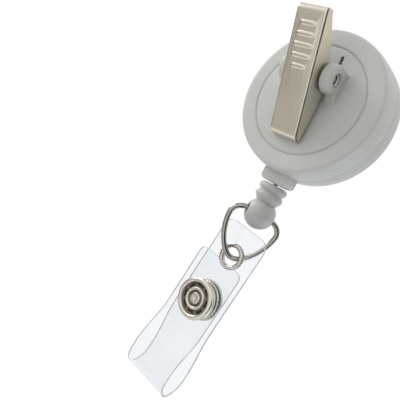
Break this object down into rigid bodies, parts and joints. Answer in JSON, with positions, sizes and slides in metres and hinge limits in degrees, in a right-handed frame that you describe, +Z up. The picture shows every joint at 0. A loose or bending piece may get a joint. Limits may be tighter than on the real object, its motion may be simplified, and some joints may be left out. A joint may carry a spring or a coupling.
{
  "type": "retractable badge reel",
  "caption": "Round sprung reel with a lever clip on its back, a cord ending in a bead and D-ring, and a clear fold-over strap closed by a press stud.",
  "frame": {"origin": "the point on the back face that the clip's jaw presses, which is where the reel is held", "axes": "+Z up, the cord leaves straight down -Z; -Y the front face, +Y the clip; +X across"},
  "size_m": [0.032, 0.0235, 0.0871],
  "materials": {
    "white_plastic": "satin",
    "nickel": "bright nickel plate",
    "pin_steel": "plain",
    "clear_vinyl": "clear",
    "drum_plastic": "moulded",
    "spring_steel": "plain",
    "cord": "braided nylon"
  },
  "bodies": {
    "case": {"front_shell": "white_plastic", "back_shell": "white_plastic", "clip_base": "white_plastic", "clip_pin": "pin_steel", "clip_spring": "spring_steel", "power_spring": "spring_steel", "cord_run": "cord"},
    "drum": {"drum": "drum_plastic", "cord_winding": "cord", "cord_anchor": "cord"},
    "cord_end": {"cord_knot": "cord"},
    "bead": {"cord_bead": "white_plastic"},
    "d_ring": {"d_ring": "nickel"},
    "strap": {"strap_back_leg": "clear_vinyl", "strap_eyelet": "nickel", "snap_stud": "nickel", "snap_back_ring": "nickel"},
    "strap_flap": {"strap_front_leg": "clear_vinyl", "snap_front_ring": "nickel", "snap_socket": "nickel", "snap_socket_spring": "spring_steel"},
    "clip_lever": {"clip_lever": "nickel"}
  },
  "joints": [
    {"name": "cord_pull", "type": "slide", "parent": "case", "child": "cord_end", "axis": [0, 0, -1], "range_m": [0, 0.6], "stiffness_N_per_m": 0.5, "springref_m": -1, "deforming": ["cord_run"]},
    {"name": "drum_spin", "type": "hinge", "parent": "case", "child": "drum", "pos_m": [0, -0.005, 0.009], "axis": [0, 1, 0], "continuous": true, "deforming": ["power_spring"]},
    {"name": "bead_turn", "type": "hinge", "parent": "cord_end", "child": "bead", "pos_m": [0, -0.005, -0.0137], "axis": [0, 0, 1], "continuous": true},
    {"name": "dring_swing", "type": "hinge", "parent": "bead", "child": "d_ring", "pos_m": [0, -0.005, -0.0164], "axis": [0.7314, 0.682, 0], "range_deg": [-85, 85]},
    {"name": "strap_swing", "type": "hinge", "parent": "d_ring", "child": "strap", "pos_m": [0.0011, -0.005, -0.02785], "axis": [0.728, 0.682, 0.0701], "range_deg": [-12, 12]},
    {"name": "snap_open", "type": "hinge", "parent": "strap", "child": "strap_flap", "pos_m": [0.00433, -0.0034, -0.06139], "axis": [-0.9954, 0, -0.0958], "range_deg": [0, 75]},
    {"name": "clip_press", "type": "hinge", "parent": "case", "child": "clip_lever", "pos_m": [0, 0.0036, 0.0131], "axis": [1, 0, 0], "range_deg": [0, 22], "stiffness_Nm_per_rad": 0.001, "springref_deg": -28.65, "deforming": ["clip_spring"]}
  ],
  "couplings": [
    {"joint": "drum_spin", "follows": "cord_pull", "rad_per_m": 87}
  ]
}
